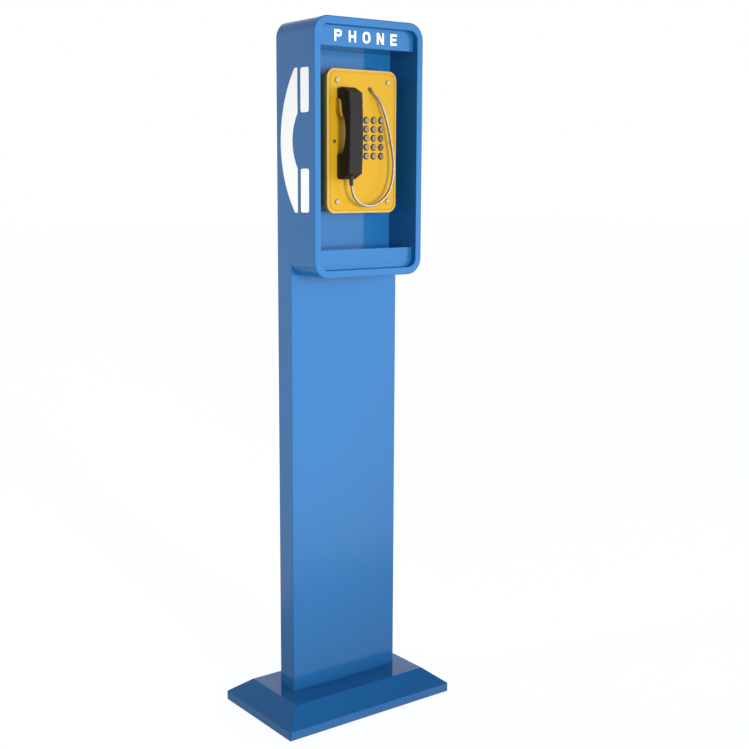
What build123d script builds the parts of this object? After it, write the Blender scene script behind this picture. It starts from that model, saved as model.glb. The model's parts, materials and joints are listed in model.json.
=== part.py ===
from build123d import *
import os
from math import cos, pi, radians, sin, tan

# Pedestal telephone booth, in millimetres.
# The origin is the centre of the base on the floor. +Z is up and the user stands at -Y.

# ---------------------------------------------------------------- driving dimensions
BASE_WIDTH = 500
BASE_DEPTH = 300
SKIRT_HEIGHT = 21
BASE_HEIGHT = 60
TOP_WIDTH = 400
TOP_DEPTH = 200
BASE_PLATE_THICKNESS = 10
ANCHOR_SPACING_X = 400
ANCHOR_SPACING_Y = 200
ANCHOR_HOLE_RADIUS = 7

BODY_WIDTH = 320
COLUMN_DEPTH = 57
SHEET = 3
HOOD_BOTTOM = 1109
HOOD_TOP = 1708
HOOD_FRONT = -128.5
HOOD_RADIUS = 40
FRAME_WIDTH = 18
PANEL_FACE = -112.3
PANEL_THICKNESS = 2
BAY_BOTTOM = 1174.7
BAY_TOP = 1643
BAY_BACK = -21.5
LINER_SHEET = 2
HOOD_SHEET = 2.5

PHONE_Z = 1427.5
PHONE_WIDTH = 205
PHONE_HEIGHT = 335
PHONE_RADIUS = 22
PHONE_FACE = -99
LID_DEPTH = 16
LID_WALL = 3
GROOVE_INSET = 6.7
GROOVE_WIDTH = 1.6
GROOVE_DEPTH = 1.2
BOX_WIDTH = 185
BOX_HEIGHT = 315
BOX_RADIUS = 14
BOX_WALL = 2.5
GASKET = 3
SCREW_X = 75
SCREW_Z = 140.5

SIDE_SCREW_X = 82
SIDE_SCREW_SINK = 1.8

KEY_X = (10.5, 32.5, 54.5)
KEY_Z = (1478.5, 1457.5, 1436.5, 1415.5, 1394.5)
KEY_RADIUS = 7
KEY_RIM = 1.5
KEY_PROUD = 3.6
KEY_TRAVEL = 1.5
DISH_RADIUS = 40
DISH_DEPTH = 0.34
BEZEL_RADIUS = 8.3
BEZEL_PROUD = 0.9
KEYPAD_MARGIN = 15
KEYPAD_EDGE = 8.5
KEY_NAMES = (("key_1", "key_2", "key_3"), ("key_4", "key_5", "key_6"), ("key_7", "key_8", "key_9"),
             ("key_star", "key_0", "key_hash"), ("key_volume", "key_hold", "key_redial"))

HANDSET_X = -55
HANDSET_WIDTH = 40.5
HANDSET_BACK = PHONE_FACE - 0.4
HANDSET_ROUNDING = 3.5
EAR_TOP = 1551
EAR_BOTTOM = 1527
EAR_NOSE = (-145.7, 1538)
EAR_CORNER = 6
MOUTH_TOP = 1400
MOUTH_BOTTOM = 1339.5
MOUTH_NOSE = (-145.7, 1352.5)
MOUTH_CORNER = 8
BLOCK_FRONT = -119.5
GRIP_BACK = -130.5
GRIP_FRONT = -149.8

CRADLE_WIDTH = 47
CRADLE_TOP = 1526.5
CRADLE_BOTTOM = 1494
CRADLE_PAD = 3
LUG_OFFSET = 20.1
LUG_WIDTH = 6
LUG_OUTLINE = ((-101, 1526.5), (-104, 1526.5), (-113, 1521.5), (-115.3, 1514), (-115.6, 1504), (-117.2, 1496),
               (-120.8, 1487), (-118.8, 1483.5), (-109, 1488.5), (-101, 1496.5))
LEVER_SLOT = (-61, -49, 1507, 1527)

HOOK_PIVOT_Y = -84
HOOK_PIVOT_Z = 1512
HOOK_PIN_RADIUS = 2
LEVER_SIDES = (-59, -53)

CORD_RADIUS = 3.25
BOOT_END_RADIUS = 4.6
BOOT_ROOT_RADIUS = 7
BOOT_LENGTH = 38
BOOT_RIBS = (3.5, 7, 10.5, 14, 17.5)
CORD_ROUTE = (
    (24, -102.5, 1545.5), (30.5, -107, 1537), (40.5, -113, 1522.5), (49, -117, 1501.5), (61.5, -120, 1462),
    (69.5, -121.5, 1420.5), (76.5, -122.5, 1379.5), (72.5, -123.5, 1340), (59, -124.5, 1304),
    (23.5, -125.5, 1279.5), (-8, -126, 1276), (-32, -126.5, 1285), (-45.2, -127, 1298),
    (-51.8, -127.3, 1311), (-53.3, -127.5, 1325),
)
FERRULE_CENTRE = (22.4, PHONE_FACE, 1550.5)
FERRULE_RADIUS = 4.6
SPOUT_LENGTH = 10

LETTER_HEIGHT = 26
LETTER_WIDTH = 21
LETTER_STROKE = 5
LETTER_PITCH = 41
LETTER_RELIEF = 0.8
BOWL_HEIGHT = 15.5
SIGN_BASELINE = 1654
SYMBOL_RELIEF = 0.6
SYMBOL_Z = 1428
SYMBOL_TOP = 1594
SYMBOL_BLOCK = (33, 101, 6)
SYMBOL_BLOCK_OFFSET = 114.5

# ---------------------------------------------------------------- derived dimensions
HALF = BODY_WIDTH / 2
COLUMN_FRONT = -COLUMN_DEPTH / 2
COLUMN_BACK = COLUMN_DEPTH / 2
HOOD_HEIGHT = HOOD_TOP - HOOD_BOTTOM
HOOD_Z = (HOOD_TOP + HOOD_BOTTOM) / 2
OPENING_WIDTH = BODY_WIDTH - 2 * FRAME_WIDTH
OPENING_HEIGHT = HOOD_HEIGHT - 2 * FRAME_WIDTH
OPENING_RADIUS = HOOD_RADIUS - FRAME_WIDTH
BAY_HALF = OPENING_WIDTH / 2
PANEL_BACK = PANEL_FACE + PANEL_THICKNESS
LINER_BACK = BAY_BACK + LINER_SHEET
LID_INSIDE = PHONE_FACE + LID_WALL
BOX_FRONT = LID_INSIDE + GASKET

nodes = {}


# ---------------------------------------------------------------- helpers
def block(x0, x1, y0, y1, z0, z1):
    """Box between two opposite corners."""
    return Pos((x0 + x1) / 2, (y0 + y1) / 2, (z0 + z1) / 2) * Box(x1 - x0, y1 - y0, z1 - z0)


def rod_y(x, z, y0, y1, radius):
    """Round bar along Y."""
    return Pos(x, (y0 + y1) / 2, z) * Rot(90, 0, 0) * Cylinder(radius, y1 - y0)


def rod_x(y, z, x0, x1, radius):
    """Round bar along X."""
    return Pos((x0 + x1) / 2, y, z) * Rot(0, 90, 0) * Cylinder(radius, x1 - x0)


def rod_z(x, y, z0, z1, radius):
    """Round bar along Z."""
    return Pos(x, y, (z0 + z1) / 2) * Cylinder(radius, z1 - z0)


def front_plane(y, x=0, z=0):
    """Plane that faces the user, with local x along +X and local y along +Z."""
    return Plane(origin=(x, y, z), x_dir=(1, 0, 0), z_dir=(0, -1, 0))


def rounded_plate(width, height, radius, y0, y1, x=0, z=0):
    """Rounded rectangle in the XZ plane, from y0 (front) back to y1."""
    return extrude(front_plane(y0, x, z) * RectangleRounded(width, height, radius), -(y1 - y0))


def rounded_ring(outer, inner, y0, y1, x=0, z=0):
    """Rounded rectangular ring; outer and inner are (width, height, radius)."""
    return rounded_plate(*outer, y0, y1, x, z) - rounded_plate(*inner, y0, y1, x, z)


def side_profile(x0, x1, outline):
    """Prism along X from a closed outline of (y, z) points."""
    wire = Polyline([(x0, y, z) for y, z in outline], close=True)
    return extrude(make_face(wire), x1 - x0, dir=(1, 0, 0))


def hex_prism_y(x, z, y0, y1, across_flats):
    """Hexagonal bar along Y."""
    hexagon = RegularPolygon(across_flats / 2, 6, major_radius=False)
    return extrude(front_plane(y0, x, z) * hexagon, -(y1 - y0))


def hex_prism_z(x, y, z0, z1, across_flats):
    """Hexagonal bar along Z."""
    return extrude(Pos(x, y, z0) * RegularPolygon(across_flats / 2, 6, major_radius=False), z1 - z0)


def group(solids):
    """Separate solids kept in one node."""
    return Compound(children=[part.solid() for part in solids])


def edges_at(part, axis, position, tolerance=0.01):
    """Edges whose centre and both ends lie at one position on an axis."""
    chosen = []
    for edge in part.edges():
        low = getattr(edge.bounding_box().min, axis)
        high = getattr(edge.bounding_box().max, axis)
        if abs(low - position) < tolerance and abs(high - position) < tolerance:
            chosen.append(edge)
    return chosen


# ---------------------------------------------------------------- base
def frustum(bottom, top, z0, z1):
    """Four-sided frustum between two (width, depth) rectangles."""
    return loft([Pos(0, 0, z0) * Rectangle(*bottom), Pos(0, 0, z1) * Rectangle(*top)])


def build_base():
    """Steel plate bolted to the floor, with a sheet shroud over it."""
    plate = extrude(RectangleRounded(480, 280, 12), BASE_PLATE_THICKNESS)
    for x in (-ANCHOR_SPACING_X / 2, ANCHOR_SPACING_X / 2):
        for y in (-ANCHOR_SPACING_Y / 2, ANCHOR_SPACING_Y / 2):
            plate -= rod_z(x, y, -1, BASE_PLATE_THICKNESS + 1, ANCHOR_HOLE_RADIUS)
    plate -= rod_z(0, 0, -1, BASE_PLATE_THICKNESS + 1, 16)
    for x, y in foot_bolt_places():
        plate -= rod_z(x, y, -1, BASE_PLATE_THICKNESS + 1, 5.1)
    nodes["base_plate"] = plate

    grommet = rod_z(0, 0, 0.5, BASE_PLATE_THICKNESS + 3, 15.9) + rod_z(0, 0, BASE_PLATE_THICKNESS, 13, 20)
    nodes["cable_grommet"] = grommet - rod_z(0, 0, -1, 20, 7)

    outer = block(-BASE_WIDTH / 2, BASE_WIDTH / 2, -BASE_DEPTH / 2, BASE_DEPTH / 2, 0, SKIRT_HEIGHT)
    outer += frustum((BASE_WIDTH, BASE_DEPTH), (TOP_WIDTH, TOP_DEPTH), SKIRT_HEIGHT, BASE_HEIGHT)
    outer = fillet(outer.edges().filter_by(Axis.Z), 3)
    outer = fillet(edges_at(outer, "Z", BASE_HEIGHT), 1.5)
    inner = block(-BASE_WIDTH / 2 + SHEET, BASE_WIDTH / 2 - SHEET, -BASE_DEPTH / 2 + SHEET,
                  BASE_DEPTH / 2 - SHEET, -1, SKIRT_HEIGHT - 1.5)
    inner += frustum((BASE_WIDTH - 2 * SHEET, BASE_DEPTH - 2 * SHEET), (TOP_WIDTH - 4, TOP_DEPTH - 4),
                     SKIRT_HEIGHT - 1.5, BASE_HEIGHT - SHEET)
    clearance = 0.3
    column_hole = block(-HALF - clearance, HALF + clearance, COLUMN_FRONT - clearance,
                        COLUMN_BACK + clearance, 50, 70)
    nodes["base_shroud"] = outer - inner - column_hole

    brackets = []
    for side in (-1, 1):
        for y in (-60, 60):
            outline = [(234, 10), (213, 10), (213, 13), (231, 13), (231, 19), (234, 19)]
            wire = Polyline([(side * x, y - 12, z) for x, z in outline], close=True)
            brackets.append(extrude(make_face(wire), 24, dir=(0, 1, 0)))
    nodes["shroud_brackets"] = group(brackets)


def foot_bolt_places():
    """Centres of the four bolts that tie the column to the base plate."""
    return [(side * 128, y) for side in (-1, 1) for y in (-12, 12)]


# ---------------------------------------------------------------- column
def build_column():
    """Full-height spine, open at the back, with two service panels."""
    lower_top = HOOD_BOTTOM + HOOD_RADIUS
    lower = block(-HALF, HALF, COLUMN_FRONT, COLUMN_BACK, BASE_PLATE_THICKNESS, lower_top)
    lower = fillet(lower.edges().filter_by(Axis.Z).sort_by(Axis.Y)[:2], 2)
    upper = block(-HALF, HALF, COLUMN_FRONT, COLUMN_BACK, lower_top, HOOD_TOP)
    upper = fillet(upper.edges().filter_by(Axis.Y).sort_by(Axis.Z)[-2:], HOOD_RADIUS)
    spine = lower + upper

    def hollow(y0, y1, z0, inset=SHEET):
        """Inside space of the spine between two depths, with rounded top corners."""
        space = block(-HALF + inset, HALF - inset, y0, y1, z0, HOOD_TOP - inset)
        return fillet(space.edges().filter_by(Axis.Y).sort_by(Axis.Z)[-2:], HOOD_RADIUS - inset)

    flange_face = COLUMN_BACK - 2 * SHEET
    panel_front = COLUMN_BACK - SHEET
    spine -= hollow(COLUMN_FRONT + SHEET, flange_face, BASE_PLATE_THICKNESS - 1)
    spine -= hollow(panel_front, COLUMN_BACK + 1, BASE_HEIGHT + 4)
    spine -= block(-132, 132, flange_face - 1, panel_front + 1, 87, 1085)
    spine -= block(-132, 132, flange_face - 1, panel_front + 1, 1135, 1680)
    spine -= block(-BAY_HALF - 4, BAY_HALF + 4, COLUMN_FRONT - 1, COLUMN_FRONT + SHEET + 1,
                   BAY_BOTTOM - 5, BAY_TOP + 5)
    for x, z in panel_screw_places():
        spine -= rod_y(x, z, flange_face - 1, panel_front + 1, 2.55)
    for x, z in hood_bolt_places():
        spine -= rod_y(x, z, COLUMN_FRONT - 1, COLUMN_FRONT + SHEET + 1, 2.6)
    nodes["column_shell"] = spine

    gap = 0.4
    lower_panel = block(-HALF + SHEET + gap, HALF - SHEET - gap, panel_front, COLUMN_BACK,
                        BASE_HEIGHT + 4 + gap, HOOD_BOTTOM)
    upper_panel = block(-HALF + SHEET + gap, HALF - SHEET - gap, panel_front, COLUMN_BACK,
                        HOOD_BOTTOM + 1, HOOD_TOP - SHEET - gap)
    top_corners = upper_panel.edges().filter_by(Axis.Y).sort_by(Axis.Z)[-2:]
    upper_panel = fillet(top_corners, HOOD_RADIUS - SHEET - gap)
    for x, z in panel_screw_places():
        hole = rod_y(x, z, panel_front - 1, COLUMN_BACK + 1, 2.7)
        lower_panel -= hole
        upper_panel -= hole
    nodes["column_rear_panel"] = lower_panel
    nodes["hood_rear_panel"] = upper_panel

    screws = []
    for x, z in panel_screw_places():
        head = rod_y(x, z, COLUMN_BACK, COLUMN_BACK + 2.6, 4.75)
        head = fillet(edges_at(head, "Y", COLUMN_BACK + 2.6), 1.6)
        socket = hex_prism_y(x, z, COLUMN_BACK + 1.2, COLUMN_BACK + 3, 3)
        screws.append(head + rod_y(x, z, flange_face - 4, COLUMN_BACK, 2.5) - socket)
    nodes["rear_panel_screws"] = group(screws)

    brackets = []
    for side in (-1, 1):
        outline = [(157, 10), (108, 10), (108, 16), (151, 16), (151, 90), (157, 90)]
        wire = Polyline([(side * x, -20, z) for x, z in outline], close=True)
        bracket = extrude(make_face(wire), 40, dir=(0, 1, 0))
        for x, y in foot_bolt_places():
            bracket -= rod_z(x, y, 9, 17, 5.1)
        brackets.append(bracket)
    nodes["foot_brackets"] = group(brackets)

    bolts = []
    for x, y in foot_bolt_places():
        bolts.append(hex_prism_z(x, y, 16, 22.4, 17) + rod_z(x, y, 1, 16, 5))
    nodes["foot_bolts"] = group(bolts)

    terminal = block(-40, 40, COLUMN_FRONT + SHEET, COLUMN_FRONT + SHEET + 18, 1000, 1026)
    for slot in range(6):
        x = -32.5 + 13 * slot
        terminal -= rod_y(x, 1013, COLUMN_FRONT + SHEET + 10, COLUMN_FRONT + SHEET + 20, 3.5)
        terminal -= block(x - 3, x + 3, COLUMN_FRONT + SHEET + 3, COLUMN_FRONT + SHEET + 9, 999, 1006)
    nodes["terminal_block"] = terminal


def panel_screw_places():
    """Screws of the two rear panels, as (x, z)."""
    return [(side * 144.5, z) for side in (-1, 1) for z in (112, 590, 1060, 1160, 1410, 1655)]


def hood_bolt_places():
    """Bolts between the hood's rear flange and the spine, as (x, z)."""
    return [(side * 152, z) for side in (-1, 1) for z in (1210, 1408.5, 1607)]


# ---------------------------------------------------------------- hood
def build_hood():
    """Rounded outer shell with a front frame, the bay liner, and the two blue panels."""
    outer = (BODY_WIDTH, HOOD_HEIGHT, HOOD_RADIUS)
    skin_inside = (BODY_WIDTH - 2 * HOOD_SHEET, HOOD_HEIGHT - 2 * HOOD_SHEET, HOOD_RADIUS - HOOD_SHEET)
    opening = (OPENING_WIDTH, OPENING_HEIGHT, OPENING_RADIUS)
    return_outside = (OPENING_WIDTH + 2 * HOOD_SHEET, OPENING_HEIGHT + 2 * HOOD_SHEET,
                      OPENING_RADIUS + HOOD_SHEET)
    solid = rounded_plate(*outer, HOOD_FRONT, COLUMN_FRONT, z=HOOD_Z)
    solid = fillet(edges_at(solid, "Y", HOOD_FRONT), 3)
    cavity = rounded_plate(*skin_inside, HOOD_FRONT + HOOD_SHEET, COLUMN_FRONT - HOOD_SHEET, z=HOOD_Z)
    frame_return = rounded_ring(return_outside, opening, HOOD_FRONT + HOOD_SHEET, PANEL_BACK, z=HOOD_Z)
    shell = solid - cavity + frame_return - rounded_plate(*opening, HOOD_FRONT - 1, PANEL_BACK, z=HOOD_Z)
    inner_edge = [edge for edge in edges_at(shell, "Y", HOOD_FRONT)
                  if abs(edge.center().X) < BAY_HALF + 1 and edge.bounding_box().min.Z > HOOD_BOTTOM + 10
                  and edge.bounding_box().max.Z < HOOD_TOP - 10]
    shell = fillet(inner_edge, 1.2)
    shell -= block(-BAY_HALF - 4, BAY_HALF + 4, COLUMN_FRONT - HOOD_SHEET - 1, COLUMN_FRONT + 1,
                   BAY_BOTTOM - 5, BAY_TOP + 5)
    for x, z in hood_bolt_places():
        shell -= rod_y(x, z, COLUMN_FRONT - HOOD_SHEET - 1, COLUMN_FRONT + 1, 2.6)
    nodes["hood_shell"] = shell

    bolts = []
    for x, z in hood_bolt_places():
        front = COLUMN_FRONT - HOOD_SHEET
        bolts.append(hex_prism_y(x, z, front - 3.5, front, 8) + rod_y(x, z, front, front + 14, 2.5))
    nodes["hood_bolts"] = group(bolts)

    liner = block(-BAY_HALF - LINER_SHEET, BAY_HALF + LINER_SHEET, PANEL_BACK, LINER_BACK,
                  BAY_BOTTOM - LINER_SHEET, BAY_TOP + LINER_SHEET)
    liner -= block(-BAY_HALF, BAY_HALF, PANEL_BACK - 1, BAY_BACK, BAY_BOTTOM, BAY_TOP)
    for x, z in phone_bolt_places():
        liner -= rod_y(x, z, BAY_BACK - 1, LINER_BACK + 1, 3.2)
    liner -= rod_y(0, PHONE_Z - 120, BAY_BACK - 1, LINER_BACK + 1, 8)
    nodes["hood_liner"] = liner

    clearance = 0.2
    panel = rounded_plate(OPENING_WIDTH - 2 * clearance, OPENING_HEIGHT - 2 * clearance,
                          OPENING_RADIUS - clearance, PANEL_FACE, PANEL_BACK, z=HOOD_Z)
    fascia = panel & block(-200, 200, PANEL_FACE - 1, PANEL_BACK + 1, BAY_TOP, HOOD_TOP)
    sill = panel & block(-200, 200, PANEL_FACE - 1, PANEL_BACK + 1, HOOD_BOTTOM, BAY_BOTTOM)
    nodes["fascia_panel"] = fillet(edges_at(fascia, "Y", PANEL_FACE), 0.6)
    nodes["sill_panel"] = fillet(edges_at(sill, "Y", PANEL_FACE), 0.6)


# ---------------------------------------------------------------- signs
def letter_bar(x, z, width, height):
    """Flat bar of a letter, from its lower left corner."""
    return block(x, x + width, PANEL_FACE - LETTER_RELIEF, PANEL_FACE, z, z + height)


def letter(name, x, z):
    """One plain block capital with its lower left corner at x, z."""
    stroke, width, height = LETTER_STROKE, LETTER_WIDTH, LETTER_HEIGHT
    front = PANEL_FACE - LETTER_RELIEF
    stem = letter_bar(x, z, stroke, height)
    if name == "H":
        return (stem + letter_bar(x + width - stroke, z, stroke, height)
                + letter_bar(x, z + (height - stroke) / 2, width, stroke))
    if name == "E":
        bars = [letter_bar(x, z + level, width - 2, stroke) for level in (0, height - stroke)]
        return stem + bars[0] + bars[1] + letter_bar(x, z + (height - stroke) / 2, width - 4, stroke)
    if name == "N":
        slant = Polyline([(x, PANEL_FACE, z + height), (x + stroke + 1, PANEL_FACE, z + height),
                          (x + width, PANEL_FACE, z), (x + width - stroke - 1, PANEL_FACE, z)], close=True)
        diagonal = extrude(make_face(slant), LETTER_RELIEF, dir=(0, -1, 0))
        return stem + letter_bar(x + width - stroke, z, stroke, height) + diagonal
    if name == "O":
        outer = (width + 1, height, 10)
        inner = (width + 1 - 2 * stroke, height - 2 * stroke, 5)
        return rounded_ring(outer, inner, front, PANEL_FACE, x + width / 2, z + height / 2)
    bowl = rounded_ring((width, BOWL_HEIGHT, 7.5), (width - 2 * stroke, BOWL_HEIGHT - 2 * stroke, 2.7),
                        front, PANEL_FACE, x + width / 2, z + height - BOWL_HEIGHT / 2)
    bowl &= letter_bar(x + stroke - 1, z, width, height)
    return (stem + bowl + letter_bar(x, z + height - stroke, 8, stroke)
            + letter_bar(x, z + height - BOWL_HEIGHT, 8, stroke))


def build_signs():
    """Plain block capitals on the fascia and a handset pictogram on each side."""
    word = "PHONE"
    start = -((len(word) - 1) * LETTER_PITCH + LETTER_WIDTH) / 2
    nodes["sign_lettering"] = group(
        [letter(name, start + LETTER_PITCH * place, SIGN_BASELINE) for place, name in enumerate(word)])

    for name, x0, x1 in (("handset_symbol_left", -HALF - SYMBOL_RELIEF, -HALF),
                         ("handset_symbol_right", HALF, HALF + SYMBOL_RELIEF)):
        symbol_bottom = 2 * SYMBOL_Z - SYMBOL_TOP
        grip_top, grip_bottom = SYMBOL_Z + 63, SYMBOL_Z - 63
        outline = Wire([
            ThreePointArc((x0, -49, SYMBOL_TOP), (x0, 11, SYMBOL_Z), (x0, -49, symbol_bottom)),
            Line((x0, -49, symbol_bottom), (x0, -60, symbol_bottom)),
            Line((x0, -60, symbol_bottom), (x0, -60, grip_bottom)),
            ThreePointArc((x0, -60, grip_bottom), (x0, -38.5, SYMBOL_Z), (x0, -60, grip_top)),
            Line((x0, -60, grip_top), (x0, -60, SYMBOL_TOP)),
            Line((x0, -60, SYMBOL_TOP), (x0, -49, SYMBOL_TOP)),
        ])
        pieces = [extrude(Face(outline), SYMBOL_RELIEF, dir=(1, 0, 0))]
        for centre in (SYMBOL_Z + SYMBOL_BLOCK_OFFSET, SYMBOL_Z - SYMBOL_BLOCK_OFFSET):
            plane = Plane(origin=(x0, -90, centre), x_dir=(0, 1, 0), z_dir=(1, 0, 0))
            pieces.append(extrude(plane * RectangleRounded(*SYMBOL_BLOCK), x1 - x0))
        nodes[name] = group(pieces)


# ---------------------------------------------------------------- telephone
def phone_bolt_places():
    """Bolts that hold the telephone to the liner, as (x, z)."""
    return [(x, PHONE_Z + z) for x in (-60, 60) for z in (-105, 105)]


def corner_screw_places():
    """Centres of the four faceplate screws, as (x, z)."""
    return [(x, PHONE_Z + z) for x in (-SCREW_X, SCREW_X) for z in (-SCREW_Z, SCREW_Z)]


def key_places():
    """Name and centre of every key."""
    return [(KEY_NAMES[row][column], KEY_X[column], KEY_Z[row]) for row in range(5) for column in range(3)]


def build_phone_case():
    """Back box, gasket, faceplate and their screws."""
    box = rounded_plate(BOX_WIDTH, BOX_HEIGHT, BOX_RADIUS, BOX_FRONT, BAY_BACK, z=PHONE_Z)
    box -= rounded_plate(BOX_WIDTH - 2 * BOX_WALL, BOX_HEIGHT - 2 * BOX_WALL, BOX_RADIUS - BOX_WALL,
                         BOX_FRONT - 1, BAY_BACK - 3, z=PHONE_Z)
    for x, z in corner_screw_places():
        box += rod_y(x, z, LID_INSIDE, BAY_BACK - 1, 6)
        box -= rod_y(x, z, LID_INSIDE - 1, -82, 2.55)
    for side in (-1, 1):
        x0, x1 = sorted((side * 78, side * 91))
        box += block(x0, x1, LID_INSIDE, -80, PHONE_Z - 5, PHONE_Z + 5)
        box -= rod_y(side * SIDE_SCREW_X, PHONE_Z, LID_INSIDE - 1, -84, 2.05)
    for x, z in phone_bolt_places():
        box -= rod_y(x, z, BAY_BACK - 4, BAY_BACK + 1, 3.2)
    box -= rod_y(0, PHONE_Z - 120, BAY_BACK - 4, BAY_BACK + 1, 8)
    nodes["phone_back_box"] = box

    gasket = rounded_ring((BOX_WIDTH, BOX_HEIGHT, BOX_RADIUS),
                          (BOX_WIDTH - 2 * GASKET, BOX_HEIGHT - 2 * GASKET, BOX_RADIUS - GASKET),
                          LID_INSIDE, BOX_FRONT, z=PHONE_Z)
    for side in (-1, 1):
        x0, x1 = sorted((side * 77, side * 91))
        gasket -= block(x0, x1, LID_INSIDE - 1, BOX_FRONT + 1, PHONE_Z - 5, PHONE_Z + 5)
    nodes["faceplate_gasket"] = gasket

    def inset_outline(inset):
        """Width, height and corner radius of the faceplate's outline, moved in by inset."""
        return PHONE_WIDTH - 2 * inset, PHONE_HEIGHT - 2 * inset, PHONE_RADIUS - inset

    lid_back = PHONE_FACE + LID_DEPTH
    plate = rounded_plate(*inset_outline(0), PHONE_FACE, lid_back, z=PHONE_Z)
    plate = fillet(edges_at(plate, "Y", PHONE_FACE), 3)
    plate -= rounded_plate(*inset_outline(LID_WALL), LID_INSIDE, lid_back + 1, z=PHONE_Z)
    plate -= rounded_ring(inset_outline(GROOVE_INSET), inset_outline(GROOVE_INSET + GROOVE_WIDTH),
                          PHONE_FACE - 1, PHONE_FACE + GROOVE_DEPTH, z=PHONE_Z)
    for x, z in corner_screw_places():
        plate -= rod_y(x, z, PHONE_FACE - 1, LID_INSIDE + 1, 2.8)
    for side in (-1, 1):
        plate -= rod_y(side * SIDE_SCREW_X, PHONE_Z, PHONE_FACE - 1, PHONE_FACE + SIDE_SCREW_SINK, 4.6)
        plate -= rod_y(side * SIDE_SCREW_X, PHONE_Z, PHONE_FACE, LID_INSIDE + 1, 2.3)
    for name, x, z in key_places():
        plate -= rod_y(x, z, PHONE_FACE - 1, LID_INSIDE + 1, BEZEL_RADIUS + 0.1)
    plate -= lever_opening(PHONE_FACE - 1, LID_INSIDE + 1)
    plate -= rod_y(FERRULE_CENTRE[0], FERRULE_CENTRE[2], PHONE_FACE - 1, LID_INSIDE + 1, FERRULE_RADIUS + 0.1)
    nodes["phone_faceplate"] = plate

    screws = []
    for x, z in corner_screw_places():
        head = rod_y(x, z, PHONE_FACE - 3, PHONE_FACE, 6)
        head = fillet(edges_at(head, "Y", PHONE_FACE - 3), 2)
        socket = hex_prism_y(x, z, PHONE_FACE - 4, PHONE_FACE - 1.2, 4)
        socket -= rod_y(x, z, PHONE_FACE - 4, PHONE_FACE, 0.8)
        screws.append(head - socket + rod_y(x, z, PHONE_FACE, -84, 2.5))
    nodes["corner_screws"] = group(screws)

    side_screws = []
    for side in (-1, 1):
        x = side * SIDE_SCREW_X
        head = rod_y(x, PHONE_Z, PHONE_FACE + 0.3, PHONE_FACE + SIDE_SCREW_SINK, 4.3)
        head = fillet(edges_at(head, "Y", PHONE_FACE + 0.3), 0.7)
        head -= hex_prism_y(x, PHONE_Z, PHONE_FACE - 1, PHONE_FACE + 1.4, 3)
        side_screws.append(head + rod_y(x, PHONE_Z, PHONE_FACE + SIDE_SCREW_SINK, -86, 2))
    nodes["side_screws"] = group(side_screws)

    bolts = []
    for x, z in phone_bolt_places():
        head = rod_y(x, z, BAY_BACK - 7, BAY_BACK - 3, 6)
        nut = hex_prism_y(x, z, LINER_BACK, LINER_BACK + 5, 10)
        bolts.append(head + nut + rod_y(x, z, BAY_BACK - 3, LINER_BACK + 8, 3))
    nodes["phone_fixing_bolts"] = group(bolts)

    board_front, board_back = BAY_BACK - 16.5, BAY_BACK - 14.9
    board = block(-60, 60, board_front, board_back, PHONE_Z - 75, PHONE_Z + 75)
    for x in (-54, 54):
        for z in (PHONE_Z - 69, PHONE_Z + 69):
            board += rod_y(x, z, board_back, BAY_BACK - 3, 3)
    board += block(-40, -10, board_front - 10, board_front, PHONE_Z - 50, PHONE_Z - 20)
    board += block(10, 34, board_front - 4, board_front, PHONE_Z - 10, PHONE_Z + 14)
    board += rod_y(-25, PHONE_Z + 40, board_front - 18, board_front, 8)
    nodes["main_board"] = board


def build_keypad():
    """Fifteen keys with their bezel, membrane, circuit board and back plate."""
    x0, x1 = KEY_X[0] - KEYPAD_MARGIN, KEY_X[-1] + KEYPAD_MARGIN
    z0, z1 = KEY_Z[-1] - KEYPAD_MARGIN, KEY_Z[0] + KEYPAD_MARGIN
    bezel = block(x0, x1, LID_INSIDE, LID_INSIDE + 2, z0, z1)
    for name, x, z in key_places():
        bezel += rod_y(x, z, PHONE_FACE - BEZEL_PROUD, LID_INSIDE, BEZEL_RADIUS)
        bezel -= rod_y(x, z, PHONE_FACE - 2, LID_INSIDE + 3, KEY_RADIUS + 0.4)
    nodes["keypad_bezel"] = bezel

    key_front = PHONE_FACE - KEY_PROUD
    flange_front = LID_INSIDE + 2.3
    flange_back = flange_front + 1.3
    stem_back = flange_back + 1.4
    for name, x, z in key_places():
        cap = rod_y(x, z, key_front, flange_front, KEY_RADIUS)
        cap = fillet(edges_at(cap, "Y", key_front), KEY_RIM)
        cap -= Pos(x, key_front + DISH_DEPTH - DISH_RADIUS, z) * Sphere(DISH_RADIUS)
        flange = rod_y(x, z, flange_front, flange_back, 8.6)
        nodes[name] = cap + flange + rod_y(x, z, flange_back, stem_back, 2.5)

    membrane_front = stem_back + KEY_TRAVEL + 0.3
    membrane_back = membrane_front + 1.5
    left, right = KEY_X[0] - KEYPAD_EDGE, KEY_X[-1] + KEYPAD_EDGE
    bottom, top = KEY_Z[-1] - KEYPAD_EDGE, KEY_Z[0] + KEYPAD_EDGE
    membrane = block(left, right, membrane_front, membrane_back, bottom, top)
    for name, x, z in key_places():
        membrane += rod_y(x, z, membrane_back, membrane_back + 0.5, 3)
    nodes["keypad_membrane"] = membrane
    board_front = membrane_back + 0.5
    board_back = board_front + 1.6
    nodes["keypad_board"] = block(left, right, board_front, board_back, bottom, top)
    back_plate = block(x0, x1, board_back, board_back + 2, z0, z1)
    for x in (x0 + 3.5, x1 - 3.5):
        for z in (z0 + 3.5, z1 - 3.5):
            back_plate += rod_y(x, z, LID_INSIDE + 2, board_back, 2.5)
    nodes["keypad_backplate"] = back_plate


def lever_opening(y0, y1):
    """Slot that the hook lever passes through."""
    x0, x1, z0, z1 = LEVER_SLOT
    return block(x0, x1, y0, y1, z0, z1)


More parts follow.
